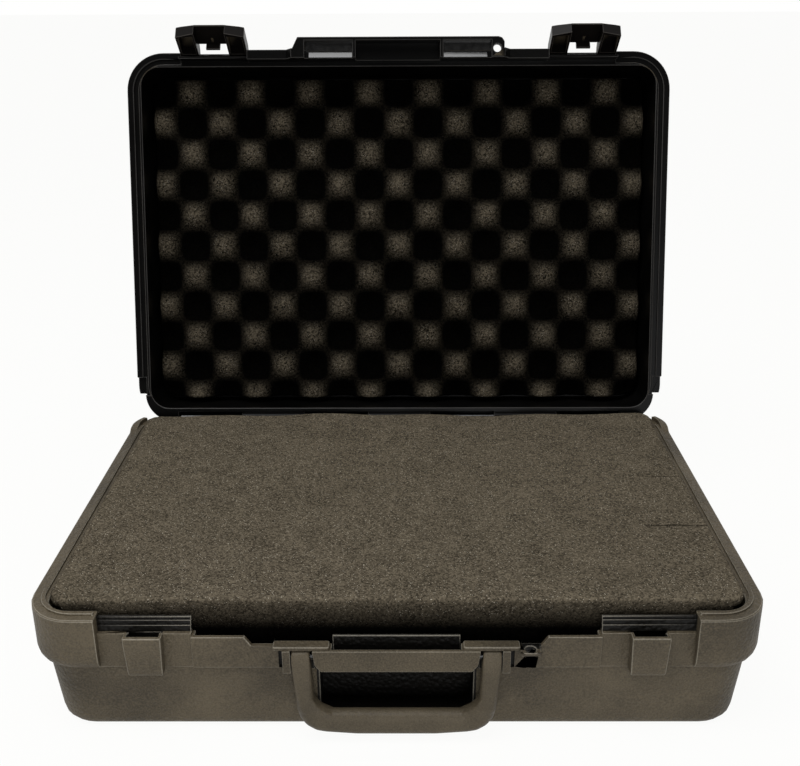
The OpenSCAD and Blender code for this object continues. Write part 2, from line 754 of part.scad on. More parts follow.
module base_foam_pad() color(foam_colour) difference() {
    z0 = wall + 0.3;
    z1 = wall + pad_t;
    low = cavity_w(bottom_r) - 2 * (bottom_r - wall) - 4;
    loft([[low, foam_d - 12, inner_r, z0], [low + 8, foam_d - 4, inner_r, z0 + 5],
          [low + 8, foam_d - 4, inner_r, z1]]);
    finger_notch();
}

// Egg-crate foam: a height field with a peak at every other cell corner
lid_foam_w = inner_w - 9;
lid_foam_d = inner_d - 12;
lid_foam_r = 12;
lid_foam_back = lid_z + lid_h - wall - 0.3;
lid_foam_peak = lid_z + peak_depth;
row_shift = 4.5;

function crate(x, y) = lid_foam_peak + valley_depth / 2
    - valley_depth / 2 * cos(180 * x / cell_w) * cos(180 * (y - row_shift) / cell_d);

// Grid lines half a cell apart from a start, and the two edges
function lines(size, cell, shift) = let (n = ceil(size / cell)) concat([-size / 2],
    [for (i = [-n:n]) let (v = shift + i * cell / 2) if (abs(v) < size / 2 - 4) v], [size / 2]);

// A point outside the rounded corner is drawn in to it
function tuck(x, y) = let (cx = lid_foam_w / 2 - lid_foam_r, cy = lid_foam_d / 2 - lid_foam_r,
    dx = abs(x) - cx, dy = abs(y) - cy, k = lid_foam_r / max(norm([dx, dy]), lid_foam_r))
    dx > 0 && dy > 0 ? [sign(x) * (cx + k * dx), sign(y) * (cy + k * dy)] : [x, y];

module lid_foam_closed() {
    xs = lines(lid_foam_w, cell_w, 0);
    ys = lines(lid_foam_d, cell_d, row_shift);
    mx = len(xs);
    my = len(ys);
    low = [for (y = ys) for (x = xs) let (p = tuck(x, y)) [p[0], p[1], crate(x, y)]];
    back = [for (p = low) [p[0], p[1], lid_foam_back]];
    b = mx * my;
    field = [for (j = [0:my - 2]) for (i = [0:mx - 2]) let (a = j * mx + i)
        each ((i + j) % 2 == 0 ? [[a, a + 1, a + mx + 1], [a, a + mx + 1, a + mx]]
                               : [[a, a + 1, a + mx], [a + 1, a + mx + 1, a + mx]])];
    rim = concat([for (i = [0:mx - 1]) i], [for (j = [1:my - 1]) j * mx + mx - 1],
                 [for (i = [mx - 2:-1:0]) (my - 1) * mx + i], [for (j = [my - 2:-1:1]) j * mx]);
    walls = [for (k = [0:len(rim) - 1]) let (p = rim[k], q = rim[(k + 1) % len(rim)])
        each [[q, p, b + p], [q, b + p, b + q]]];
    // the flat back is a fan round its centre
    lid_side = [for (k = [0:len(rim) - 1]) [2 * b, b + rim[(k + 1) % len(rim)], b + rim[k]]];
    polyhedron(concat(low, back, [[0, 0, lid_foam_back]]), concat(field, walls, lid_side), convexity = 6);
}

module lid_foam() color(foam_colour) hinge_turn(lid_open) lid_foam_closed();

base_shell();
lid_shell();
hinge_rod();
latch_left();
latch_right();
latch_pin_left();
latch_pin_right();
handle();
handle_pin_left();
handle_pin_right();
base_foam();
base_foam_pad();
lid_foam();
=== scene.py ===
# %% [markdown]
# # A laptop hard case, dressed for its picture
# The CAD model is the fixed frame: every size and place comes from it. This script gives
# each piece the look of the real one. The shells are grained polyethylene with soft moulded
# edges, the base holds a block of open-cell foam, and the lid is lined with egg-crate foam.

# %% Load the frame
import json
import math

import bmesh
import bpy
import numpy as np
from mathutils import Matrix, Vector


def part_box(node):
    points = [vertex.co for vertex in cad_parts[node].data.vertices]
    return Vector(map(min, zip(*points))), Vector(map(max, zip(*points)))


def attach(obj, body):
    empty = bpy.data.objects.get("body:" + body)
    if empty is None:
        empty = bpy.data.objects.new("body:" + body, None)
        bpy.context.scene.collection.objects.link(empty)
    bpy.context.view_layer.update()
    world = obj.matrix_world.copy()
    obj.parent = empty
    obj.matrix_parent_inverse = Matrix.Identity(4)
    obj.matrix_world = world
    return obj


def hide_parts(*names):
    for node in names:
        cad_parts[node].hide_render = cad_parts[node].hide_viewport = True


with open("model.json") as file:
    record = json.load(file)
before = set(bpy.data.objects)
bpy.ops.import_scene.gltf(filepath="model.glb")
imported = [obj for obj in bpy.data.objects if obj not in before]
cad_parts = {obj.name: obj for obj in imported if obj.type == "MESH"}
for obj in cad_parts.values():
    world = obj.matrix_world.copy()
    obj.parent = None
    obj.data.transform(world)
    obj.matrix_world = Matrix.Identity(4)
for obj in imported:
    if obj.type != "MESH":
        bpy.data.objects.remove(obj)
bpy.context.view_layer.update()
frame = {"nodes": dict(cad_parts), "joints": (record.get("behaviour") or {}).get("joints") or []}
MM = 0.001
rng = np.random.default_rng(7)

# %% [markdown]
# The lid foam is easiest to make as it lies in a closed lid, level and centred. One matrix
# then turns it open about the hinge, so that it lands in the lid however far that is open.

# %% Hinge
hinge = next(j for j in frame["joints"] if j["name"] == "lid_hinge")
hinge_at = Vector(hinge["pos_m"])
lid_angle = math.radians(hinge["range_deg"][1])
to_open = (Matrix.Translation(hinge_at) @ Matrix.Rotation(-lid_angle, 4, "X")
           @ Matrix.Translation(-hinge_at))
print("lid stands open at", round(math.degrees(lid_angle), 1), "degrees")

# %% [markdown]
# ## Small helpers
# A piece is finished when its modifiers are applied and its mesh sits in the frame's own
# coordinates. The export and every pattern on Object coordinates count on that.

# %% Make an object from points and faces
def mesh_object(name, points, faces):
    mesh = bpy.data.meshes.new(name)
    mesh.from_pydata([tuple(p) for p in points], [], faces)
    mesh.update()
    obj = bpy.data.objects.new(name, mesh)
    bpy.context.scene.collection.objects.link(obj)
    return obj


# %% Apply an object's modifiers
def apply_modifiers(obj):
    graph = bpy.context.evaluated_depsgraph_get()
    made = bpy.data.meshes.new_from_object(
        obj.evaluated_get(graph), preserve_all_data_layers=True, depsgraph=graph)
    obj.modifiers.clear()
    obj.data = made
    return obj


# %% Give a finished piece its place in the assembly
def settle(obj, body, slot, material, *nodes):
    obj.data.materials.clear()
    obj.data.materials.append(material)
    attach(obj, body)
    if nodes:
        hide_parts(*nodes)
    print(obj.name, "has", sum(len(p.vertices) - 2 for p in obj.data.polygons), "triangles")
    return obj


# %% [markdown]
# ## Shader groups
# Two effects are shared by several finishes. Pebble grain is the fine leathery texture of
# moulded cases: small rounded bumps and a slow change of tone. Open cells are the pores of
# cut foam: dark pits, lighter struts, and here and there a strut that catches the light.
# Each could be drawn anew in every material. As a group it is built once and placed in each
# with its own sizes, so a change is made in one place.

# %% Start a shader group with named sockets
def shader_group(name, inputs, outputs):
    tree = bpy.data.node_groups.new(name, "ShaderNodeTree")
    for label, kind, value in inputs:
        socket = tree.interface.new_socket(label, in_out="INPUT", socket_type=kind)
        if value is not None:
            socket.default_value = value
    for label, kind in outputs:
        tree.interface.new_socket(label, in_out="OUTPUT", socket_type=kind)
    return tree, tree.nodes.new("NodeGroupInput"), tree.nodes.new("NodeGroupOutput")


# %% Add a node and set or link its inputs in one line
def add(tree, kind, links=None, **settings):
    node = tree.nodes.new(kind)
    for key, value in settings.items():
        setattr(node, key, value)
    for socket, value in (links or {}).items():
        if isinstance(value, bpy.types.NodeSocket):
            tree.links.new(value, node.inputs[socket])
        else:
            node.inputs[socket].default_value = value
    return node


def math_node(tree, operation, a, b=0.0):
    return add(tree, "ShaderNodeMath", {0: a, 1: b}, operation=operation).outputs[0]


# %% Pebble grain
FLOAT, VECTOR = "NodeSocketFloat", "NodeSocketVector"
pebble, into, out = shader_group(
    "Pebble grain", [("Vector", VECTOR, None), ("Grain size", FLOAT, 1.2 * MM)],
    [("Height", FLOAT), ("Tone", FLOAT)])
per_size = math_node(pebble, "DIVIDE", 1.0, into.outputs["Grain size"])
scaled = add(pebble, "ShaderNodeVectorMath",
             {0: into.outputs["Vector"], "Scale": per_size}, operation="SCALE").outputs[0]
bumps = add(pebble, "ShaderNodeTexVoronoi", {"Vector": scaled, "Scale": 1.0, "Smoothness": 0.6},
            feature="SMOOTH_F1")
fine = add(pebble, "ShaderNodeTexNoise", {"Vector": scaled, "Scale": 2.4, "Detail": 3.0})
slow = add(pebble, "ShaderNodeTexNoise", {"Vector": scaled, "Scale": 0.05, "Detail": 4.0})
dome = math_node(pebble, "SUBTRACT", 1.0, bumps.outputs["Distance"])
grain = math_node(pebble, "MULTIPLY_ADD", fine.outputs[0], 0.35)
pebble.links.new(dome, grain.node.inputs[2])
tone = math_node(pebble, "ADD", math_node(pebble, "MULTIPLY", slow.outputs[0], 0.5),
                 math_node(pebble, "MULTIPLY", fine.outputs[0], 0.5))
pebble.links.new(grain, out.inputs["Height"])
pebble.links.new(tone, out.inputs["Tone"])
print("pebble grain has", len(pebble.nodes), "nodes")

# %% Open cells
cells, into, out = shader_group(
    "Open cells", [("Vector", VECTOR, None), ("Cell size", FLOAT, 1.0 * MM),
                   ("Speck share", FLOAT, 0.06)],
    [("Height", FLOAT), ("Tone", FLOAT), ("Speck", FLOAT)])
per_size = math_node(cells, "DIVIDE", 1.0, into.outputs["Cell size"])
scaled = add(cells, "ShaderNodeVectorMath",
             {0: into.outputs["Vector"], "Scale": per_size}, operation="SCALE").outputs[0]
pores = add(cells, "ShaderNodeTexVoronoi", {"Vector": scaled, "Scale": 1.0}, feature="F1")
struts = add(cells, "ShaderNodeTexVoronoi", {"Vector": scaled, "Scale": 1.55}, feature="F1")
patch = add(cells, "ShaderNodeTexNoise", {"Vector": scaled, "Scale": 0.06, "Detail": 5.0})
shade = add(cells, "ShaderNodeSeparateColor", {0: pores.outputs["Color"]})
spark = add(cells, "ShaderNodeSeparateColor", {0: struts.outputs["Color"]})
limit = math_node(cells, "SUBTRACT", 1.0, into.outputs["Speck share"])
speck = math_node(cells, "GREATER_THAN", spark.outputs[1], limit)
centre = math_node(cells, "LESS_THAN", struts.outputs["Distance"], 0.42)
tone = math_node(cells, "ADD", math_node(cells, "MULTIPLY", shade.outputs[0], 0.62),
                 math_node(cells, "MULTIPLY", patch.outputs[0], 0.38))
cells.links.new(math_node(cells, "SUBTRACT", 1.0, pores.outputs["Distance"]), out.inputs["Height"])
cells.links.new(tone, out.inputs["Tone"])
cells.links.new(math_node(cells, "MULTIPLY", speck, centre), out.inputs["Speck"])
print("open cells have", len(cells.nodes), "nodes")

# %% [markdown]
# ## Finishes
# Every material is a Principled shader with Object coordinates, so that its pattern stays
# on the piece as it moves. The numbers that are the same all over sit on the shader itself.

# %% A new material with its shader and coordinates
def new_material(name, roughness, specular, metallic=0.0):
    material = bpy.data.materials.new(name)
    material.use_nodes = True
    tree = material.node_tree
    shader = tree.nodes["Principled BSDF"]
    shader.inputs["Roughness"].default_value = roughness
    shader.inputs["Specular IOR Level"].default_value = specular
    shader.inputs["Metallic"].default_value = metallic
    place = tree.nodes.new("ShaderNodeTexCoord").outputs["Object"]
    return material, tree, shader, place


def bump(tree, shader, height, depth):
    node = add(tree, "ShaderNodeBump", {"Strength": 0.8, "Distance": depth, "Height": height})
    tree.links.new(node.outputs[0], shader.inputs["Normal"])


def colour_ramp(tree, factor, stops):
    ramp = add(tree, "ShaderNodeValToRGB", {0: factor})
    for k, (at, colour) in enumerate(stops):
        stop = ramp.color_ramp.elements[k] if k < 2 else ramp.color_ramp.elements.new(at)
        stop.position = at
        stop.color = (*colour, 1.0)
    return ramp.outputs[0]


def times(colour, k):
    return tuple(c * k for c in colour)


# %% Mix two colours, each of them a socket or plain numbers
def mixed(tree, share, under, over, blend="MIX"):
    node = add(tree, "ShaderNodeMix", {0: share}, data_type="RGBA", blend_type=blend)
    for label, paint in (("A", under), ("B", over)):
        if isinstance(paint, bpy.types.NodeSocket):
            tree.links.new(paint, node.inputs[label])
        else:
            node.inputs[label].default_value = (*paint, 1.0)
    return node.outputs["Result"]


# %% [markdown]
# The moulded plastic is a greyish brown with a grain two to three millimetres wide, and its
# tone drifts a little. A picture of such plastic could be wrapped round it, but a pattern in
# nodes needs no unwrapping and follows every curve. A highlight is painted along the rounded
# edges: the pieces carry an attribute, edge, that is 1 along them. Deep moulded spaces, such
# as the finger recess, lie in shade, so boxes name where they lie and that shade is painted
# there nearly black.

# %% Deep spaces that get painted shade, as pairs of corners in mm, on both sides of the case and on its right only
SHADED_HOLLOWS = [((-1, -155.3, 12), (51, -130, 52.6)),        # finger recess
           ((-1, -154.4, 53), (127, -146.5, 76)),       # trough behind the panels
           ((-1, -160.6, 54.5), (47, -154.2, 66.8)),    # space over the middle panel
           ((147, -160.9, 64), (170, -153.4, 76.7)),    # pocket behind a keeper
           ((127, -153.9, 75.6), (190, -149.2, 86.5)),  # wall behind a latch bay
           ((72, -157.2, 50.6), (75.5, -150, 66.2)),    # slit beside the handle's seat
           ((50, -163.2, 48), (69, -150, 66.8))]        # slot of a handle arm
RIGHT_SHADED_HOLLOWS = [((79, -157.2, 51), (90.5, -150, 65)),  # slits under the padlock plate
                 ((79, -160.4, 60), (91, -150, 68))]    # space behind the plate
# The near black that is painted as shade inside the boxes
PAINTED_SHADE_TONE = (0.04, 0.04, 0.04)


# %% Paint shade on the plastic inside the boxes
def paint_shade_in_boxes(tree, place, paint, boxes, mirrored=True):
    axis = add(tree, "ShaderNodeSeparateXYZ", {0: place}).outputs
    across = [math_node(tree, "ABSOLUTE", axis[0]) if mirrored else axis[0], axis[1], axis[2]]
    shade_mask = 0.0
    for low, high in boxes:
        inside = 1.0
        for k in range(3):
            above = math_node(tree, "GREATER_THAN", across[k], low[k] * MM)
            below = math_node(tree, "LESS_THAN", across[k], high[k] * MM)
            between = math_node(tree, "MULTIPLY", above, below)
            inside = math_node(tree, "MULTIPLY", inside, between)
        shade_mask = math_node(tree, "MAXIMUM", shade_mask, inside)
    return mixed(tree, shade_mask, paint, PAINTED_SHADE_TONE, "MULTIPLY")


# %% Grained plastic with a painted highlight on its rounded edges and painted shade in deep spaces, and another colour on outside faces where one is given
OUTSIDE_ROUGHNESS = 0.52


def toned(tree, tone, colour, spread):
    return colour_ramp(tree, tone, [(0.38, times(colour, 1 - spread)),
                                    (0.62, times(colour, 1 + spread))])


def grained_plastic(name, colour, edge_highlight, roughness, specular, grain, depth, spread,
                    shade_boxes=(), outer=None):
    material, tree, shader, place = new_material(name, roughness, specular)
    surface = add(tree, "ShaderNodeGroup", {"Vector": place, "Grain size": grain}, node_tree=pebble)
    height, tone = surface.outputs["Height"], surface.outputs["Tone"]
    paint = toned(tree, tone, colour, spread)
    if shade_boxes:
        # Painted shade in the deep spaces
        paint = paint_shade_in_boxes(tree, place, paint, shade_boxes)
        paint = paint_shade_in_boxes(tree, place, paint, RIGHT_SHADED_HOLLOWS, mirrored=False)
    if outer:
        outside = add(tree, "ShaderNodeAttribute", attribute_name="outside").outputs["Fac"]
        paint = mixed(tree, outside, paint, toned(tree, tone, outer, spread))
        height = math_node(tree, "MULTIPLY", height, outside)
        dull = add(tree, "ShaderNodeMapRange", {"Value": outside, "To Min": roughness,
                                                "To Max": OUTSIDE_ROUGHNESS})
        tree.links.new(dull.outputs[0], shader.inputs["Roughness"])
    # Painted highlight along the rounded edges
    edge = add(tree, "ShaderNodeAttribute", attribute_name="edge").outputs["Fac"]
    highlight_share = math_node(tree, "MULTIPLY", edge, tone)
    tree.links.new(mixed(tree, highlight_share, paint, edge_highlight), shader.inputs["Base Color"])
    bump(tree, shader, height, depth)
    print(name, "has", len(tree.nodes), "nodes")
    return material


# %% The four plastics
# Each plastic's colour and the painted highlight on its rounded edges
CASE_BROWN, CASE_EDGE_HIGHLIGHT = (0.078, 0.063, 0.041), (0.36, 0.33, 0.27)
# The black inside the lid and the latches is painted shade
LID_SHADE_BLACK, LID_EDGE_HIGHLIGHT = (0.0022, 0.0021, 0.0020), (0.11, 0.105, 0.10)
LATCH_SHADE_BLACK, LATCH_EDGE_HIGHLIGHT = (0.0048, 0.0040, 0.0036), (0.11, 0.10, 0.09)
case_plastic = grained_plastic("Grained case plastic", CASE_BROWN, CASE_EDGE_HIGHLIGHT, 0.55, 0.22,
                               2.6 * MM, 0.8 * MM, 0.42, SHADED_HOLLOWS)
lid_plastic = grained_plastic("Lid plastic", LID_SHADE_BLACK, LID_EDGE_HIGHLIGHT, 0.30, 0.08,
                              2.6 * MM, 0.8 * MM, 0.42, outer=times(CASE_BROWN, 0.9))
grip_plastic = grained_plastic("Handle plastic", CASE_BROWN, CASE_EDGE_HIGHLIGHT, 0.50, 0.22,
                               1.8 * MM, 0.3 * MM, 0.30)
latch_plastic = grained_plastic("Latch plastic", LATCH_SHADE_BLACK, LATCH_EDGE_HIGHLIGHT, 0.30, 0.08,
                                1.8 * MM, 0.3 * MM, 0.30, outer=CASE_BROWN)

# %% [markdown]
# Cut foam has no gloss at all. Its tone is a mix of dark pores and lighter struts. The
# pieces carry an attribute, depth, that is 0 on the outer surface and 1 far down a valley
# or low on a side, and the foam is painted darker there, because little light gets back out.
# Real pores could be cut into the mesh, but at a millimetre wide they would cost millions of
# faces, so a cell pattern and a bump stand for them.

# %% Foam
CELL_SIZE, SPECK_SHARE = 1.05 * MM, 0.04
WHITE = (1.0, 1.0, 1.0)


def foam_material(name, dark, light, speck_colour, shade_by_depth):
    material, tree, shader, place = new_material(name, 0.95, 0.02)
    surface = add(tree, "ShaderNodeGroup", {"Vector": place, "Cell size": CELL_SIZE,
                                            "Speck share": SPECK_SHARE}, node_tree=cells)
    paint = colour_ramp(tree, surface.outputs["Tone"], [(0.15, dark), (0.85, light)])
    paint = mixed(tree, surface.outputs["Speck"], paint, speck_colour)
    depth = add(tree, "ShaderNodeAttribute", attribute_name="depth").outputs["Fac"]
    # Painted shade: the foam is darker the deeper a point lies
    depth_shade = colour_ramp(tree, depth, [(at, times(WHITE, k)) for at, k in shade_by_depth])
    tree.links.new(mixed(tree, 1.0, paint, depth_shade, "MULTIPLY"), shader.inputs["Base Color"])
    bump(tree, shader, surface.outputs["Height"], 0.5 * MM)
    print(name, "has", len(tree.nodes), "nodes")
    return material


# %% The foam of the base and of the lid
FOAM_DARK, FOAM_LIGHT = (0.036, 0.030, 0.021), (0.166, 0.139, 0.099)
block_foam = foam_material("Charcoal block foam", FOAM_DARK, FOAM_LIGHT, (0.46, 0.42, 0.34),
                           [(0.0, 1.0), (0.13, 0.62), (0.5, 0.34), (0.8, 0.17), (1.0, 0.01)])
crate_foam = foam_material("Egg-crate foam", times(FOAM_DARK, 0.10), times(FOAM_LIGHT, 0.56),
                           (0.22, 0.20, 0.17),
                           [(0.04, 1.0), (0.22, 0.60), (0.38, 0.20), (0.56, 0.01)])

# %% [markdown]
# The pins and the hinge rod are steel wire, painted dark grey for the shade that they sit
# in. Drawn wire has faint rings, so its tone and roughness change quickly along X and slowly
# round it. One even grey would be simpler, but it would look like plastic.

# %% Steel wire
wire_steel, tree, shader, place = new_material("Steel wire", 0.3, 0.5, metallic=1.0)
along = add(tree, "ShaderNodeMapping", {"Vector": place, "Scale": (900.0, 60.0, 60.0)})
streaks = add(tree, "ShaderNodeTexNoise", {"Vector": along.outputs[0], "Scale": 1.0, "Detail": 3.0})
# Painted shade: the steel's greys are kept dark
shaded_greys = [(0.3, times(WHITE, 0.035)), (0.7, times(WHITE, 0.085))]
tree.links.new(colour_ramp(tree, streaks.outputs[0], shaded_greys), shader.inputs["Base Color"])
rough = add(tree, "ShaderNodeMapRange", {"Value": streaks.outputs[0],
                                         "To Min": 0.22, "To Max": 0.42})
tree.links.new(rough.outputs[0], shader.inputs["Roughness"])
print("steel wire has", len(tree.nodes), "nodes")

# %% [markdown]
# ## Moulded pieces
# A CAD edge is perfectly sharp, and no moulded edge is. A copy of each shell and latch is
# merged, its flat faces are joined again, and a narrow bevel rounds the outward edges.
# Inward corners stay sharp, as they are in a mould. One width for all edges would be
# simpler, but it would overlap on thin ribs, so each edge gets the share that it has room
# for. The bevel gives its new faces another material number for a moment, which is how the
# painted edge highlight finds them.

# %% The share of a rounding that fits beside an edge before it meets the next one
NEIGHBOUR_SHARE, CROSSWISE = 0.42, 0.6


def room_beside(line, width):
    room = width
    for point in line.verts:
        along = (line.other_vert(point).co - point.co).normalized()
        for other in point.link_edges:
            span = other.other_vert(point).co - point.co
            across = span.cross(along).length
            if other is not line and across > CROSSWISE * span.length:
                room = min(room, NEIGHBOUR_SHARE * across)
    return room / width


# %% Merge a copy of a CAD solid and choose the edges to round
MERGE_WITHIN, FLAT_WITHIN = 0.003 * MM, math.radians(1.0)
SHARP_FROM, MANY_CORNERS = math.radians(28.0), 60


def merged_copy(node, width, reshape):
    mesh = frame["nodes"][node].data.copy()
    shape = bmesh.new()
    shape.from_mesh(mesh)
    if reshape:
        for point in shape.verts:
            point.co = reshape(point.co)
    bmesh.ops.remove_doubles(shape, verts=shape.verts, dist=MERGE_WITHIN)
    bmesh.ops.dissolve_limit(shape, angle_limit=FLAT_WITHIN, verts=shape.verts, edges=shape.edges)
    weight = shape.edges.layers.float.new("bevel_weight_edge")
    for line in shape.edges:
        turn = line.calc_face_angle_signed(0.0)
        line.smooth = abs(turn) < SHARP_FROM
        line[weight] = room_beside(line, width) if turn > SHARP_FROM else 0.0
    for face in shape.faces:
        face.smooth = True
    bmesh.ops.triangulate(shape, faces=[f for f in shape.faces if len(f.verts) > MANY_CORNERS])
    shape.to_mesh(mesh)
    shape.free()
    return mesh


# %% Mark the middle of each rounded edge
def mark_edges(mesh):
    rounded = np.zeros(len(mesh.polygons), dtype=np.int32)
    mesh.polygons.foreach_get("material_index", rounded)
    edge = np.ones(len(mesh.vertices), dtype=np.float32)
    for polygon in mesh.polygons:
        if rounded[polygon.index] == 0:
            edge[list(polygon.vertices)] = 0.0
    field = mesh.attributes.new("edge", "FLOAT", "POINT")
    field.data.foreach_set("value", edge)
    mesh.polygons.foreach_set("material_index", np.zeros_like(rounded))


# %% Round the edges
def moulded_copy(node, name, edge, reshape=None):
    mesh = merged_copy(node, edge, reshape)
    mesh.materials.clear()
    for _ in range(2):
        mesh.materials.append(case_plastic)
    obj = bpy.data.objects.new(name, mesh)
    bpy.context.scene.collection.objects.link(obj)
    bevel = obj.modifiers.new("Moulded edge", "BEVEL")
    bevel.width, bevel.segments, bevel.limit_method = edge, 2, "WEIGHT"
    bevel.material, bevel.use_clamp_overlap = 1, False
    bevel.miter_outer = "MITER_ARC"
    normals = obj.modifiers.new("Flat faces stay flat", "WEIGHTED_NORMAL")
    normals.keep_sharp = True
    apply_modifiers(obj)
    mark_edges(obj.data)
    return obj


# %% Base
base = moulded_copy("base_shell", "base_case", 0.9 * MM)
settle(base, "base", "shell", case_plastic, "base_shell")

# %% [markdown]
# Both halves are the same plastic, grained outside and smooth inside. The smooth inside of
# the lid and of the latches looks almost black, because it mirrors the dark side of the room,
# and that is painted into its colour as a shaded black. Two pieces in two colours could do
# this, but a moulding is one piece, so an attribute, outside, is 1 where a face points away
# from the inside.

# %% Mark the outside faces of a piece that opens
def mark_outside(obj, is_outside):
    back = to_open.inverted()
    turn = back.to_3x3()
    values = np.array([is_outside(back @ v.co, turn @ v.normal) for v in obj.data.vertices],
                      dtype=np.float32)
    field = obj.data.attributes.new("outside", "FLOAT", "POINT")
    field.data.foreach_set("value", values)
    print(obj.name, "is outside on", round(float(values.mean()), 2), "of its points")
    return obj


# %% Faces that look up or away from the middle are outside
LID_WALL_X, LID_WALL_Y, TURNED = 0.215, 0.141, 0.3


def lid_outside(point, normal):
    away_x = normal.x * point.x > 0 and abs(normal.x) > TURNED and abs(point.x) > LID_WALL_X
    away_y = normal.y * point.y > 0 and abs(normal.y) > TURNED and abs(point.y) > LID_WALL_Y
    return float(normal.z > TURNED or ((away_x or away_y) and normal.z > -TURNED))


def latch_outside(point, normal):
    return float(normal.z > 0.25 or normal.y < -0.6)


# %% [markdown]
# In the photograph the lid's front edge stands a few millimetres further out than its solid:
# the wall beside each latch is flush with the belt, and the flange over the handle is
# deeper. The copy's points are moved, as they lie in the closed lid. The padlock eye stays.

# %% Bring the lid's front edge out
EYE_X, EYE_Y, EYE_REACH = 84, -160.5, 3.7
FLANGE_OUT, WALL_OUT = 4.0 * MM, 3.3 * MM


def fuller_front(place):
    point = to_open.inverted() @ place
    x, y, z = point / MM
    near_eye = (x - EYE_X) ** 2 + (y - EYE_Y) ** 2 < EYE_REACH ** 2
    if 66 < z < 104 and not near_eye:
        if y < -161.5 and abs(x) < 95:
            point.y -= FLANGE_OUT
        elif -158.7 < y < -157.2 and abs(x) < 129 and z < 88.6:
            point.y -= WALL_OUT
    return to_open @ point


# %% Lid and latches
lid = moulded_copy("lid_shell", "lid_case", 0.8 * MM, fuller_front)
settle(mark_outside(lid, lid_outside), "lid", "lid", lid_plastic, "lid_shell")
for side in ("left", "right"):
    latch = moulded_copy(f"latch_{side}", f"latch_{side}_moulding", 0.55 * MM)
    mark_outside(latch, latch_outside)
    settle(latch, f"latch_{side}", "fittings", latch_plastic, f"latch_{side}")

# %% [markdown]
# At the foot of each window in the flange lies a smooth, slightly rounded ramp, which shows
# as a bright strip because it mirrors the lamp above. A flat web closes the window behind
# it. A pale paint would be simpler, but it would be bright from every side. Both are
# sections in Y and Z, in mm, drawn along X in the closed lid.

# %% The two sections
RAMP_TOP, RAMP_FOOT, RAMP_Z, RAMP_STEPS = -157.8, -153.4, 71.5, 8
SUNK_IN, PROUD = 0.4, 0.05
WEB_SECTION = [(-167.2, 76.0), (-167.2, 74.0), (-158.6, 74.0), (-158.6, 76.0)]
RAMP_ENDS, WEB_ENDS = (38.7, 75.6), (38.6, 78.9)


def ramp_section():
    section, height = [(RAMP_TOP, RAMP_Z + SUNK_IN)], RAMP_Z - PROUD
    step = (RAMP_FOOT - RAMP_TOP) / RAMP_STEPS
    for k in range(RAMP_STEPS + 1):
        section.append((RAMP_TOP + k * step, height))
        height -= step * math.tan(math.radians(10 + 15 * k / RAMP_STEPS))
    return section + [(RAMP_FOOT, RAMP_Z + SUNK_IN)]


# %% Draw both sections along X and soften their edges
def window_ramp(name, mirror):
    points, faces = [], []
    for section, ends in ((ramp_section(), RAMP_ENDS), (WEB_SECTION, WEB_ENDS)):
        first, count = len(points), len(section)
        points += [(mirror * x * MM, y * MM, z * MM) for x in ends for y, z in section]
        ring = [(first + k, first + (k + 1) % count) for k in range(count)]
        faces += [(k, n, n + count, k + count) for k, n in ring]
        faces += [tuple(k for k, n in ring), tuple(k + count for k, n in ring)]
    ramp = mesh_object(name, points, faces)
    shape = bmesh.new()
    shape.from_mesh(ramp.data)
    bmesh.ops.recalc_face_normals(shape, faces=shape.faces)
    for line in shape.edges:
        line.smooth = abs(line.calc_face_angle_signed(0.0)) < SHARP_FROM
    for face in shape.faces:
        face.smooth = True
    shape.to_mesh(ramp.data)
    shape.free()
    bevel = ramp.modifiers.new("Soft ends", "BEVEL")
    bevel.width, bevel.segments, bevel.limit_method = 0.15 * MM, 2, "ANGLE"
    apply_modifiers(ramp)
    ramp.data.transform(to_open)
    return ramp


# %% Smooth plastic for the ramps
smooth_plastic, tree, shader, place = new_material("Smooth lid plastic", 0.20, 0.6)
clouds = add(tree, "ShaderNodeTexNoise", {"Vector": place, "Scale": 260.0, "Detail": 3.0})
# The ramps take the lid's painted shaded black
shaded_blacks = [(0.35, times(LID_SHADE_BLACK, 0.8)), (0.65, times(LID_SHADE_BLACK, 4))]
tree.links.new(colour_ramp(tree, clouds.outputs[0], shaded_blacks), shader.inputs["Base Color"])
rough = add(tree, "ShaderNodeMapRange", {"Value": clouds.outputs[0],
                                         "To Min": 0.14, "To Max": 0.26})
tree.links.new(rough.outputs[0], shader.inputs["Roughness"])
for side, mirror in (("left", -1), ("right", 1)):
    settle(window_ramp(f"window_ramp_{side}", mirror), "lid", "lid", smooth_plastic)

# %% [markdown]
# The handle is one thick moulding, and its arms flow into the grip without a crease. A fine
# voxel remesh joins the CAD's crossing solids into one skin, and a few rounds of smoothing
# melt the creases between them. A bevel would leave those creases.

# %% Handle
def melted_copy(node, name, voxel, rounds):
    mesh = frame["nodes"][node].data.copy()
    obj = bpy.data.objects.new(name, mesh)
    bpy.context.scene.collection.objects.link(obj)
    remesh = obj.modifiers.new("One skin", "REMESH")
    remesh.mode, remesh.voxel_size = "VOXEL", voxel
    smooth = obj.modifiers.new("Melt the creases", "SMOOTH")
    smooth.factor, smooth.iterations = 0.5, rounds
    apply_modifiers(obj)
    obj.data.shade_smooth()
    return obj


handle = melted_copy("handle", "handle_moulding", 0.8 * MM, 7)
settle(handle, "handle", "fittings", grip_plastic, "handle")

# %% [markdown]
# A pin or a rod is a plain round bar, and the CAD solid already has that shape. It keeps its
# mesh and only gets the steel.

# %% Pins and rod
WIRES = ["hinge_rod", "latch_pin_left", "latch_pin_right", "handle_pin_left", "handle_pin_right"]
for name in WIRES:
    wire = frame["nodes"][name]
    wire.data.materials.clear()
    wire.data.materials.append(wire_steel)
print(len(WIRES), "bars are steel")

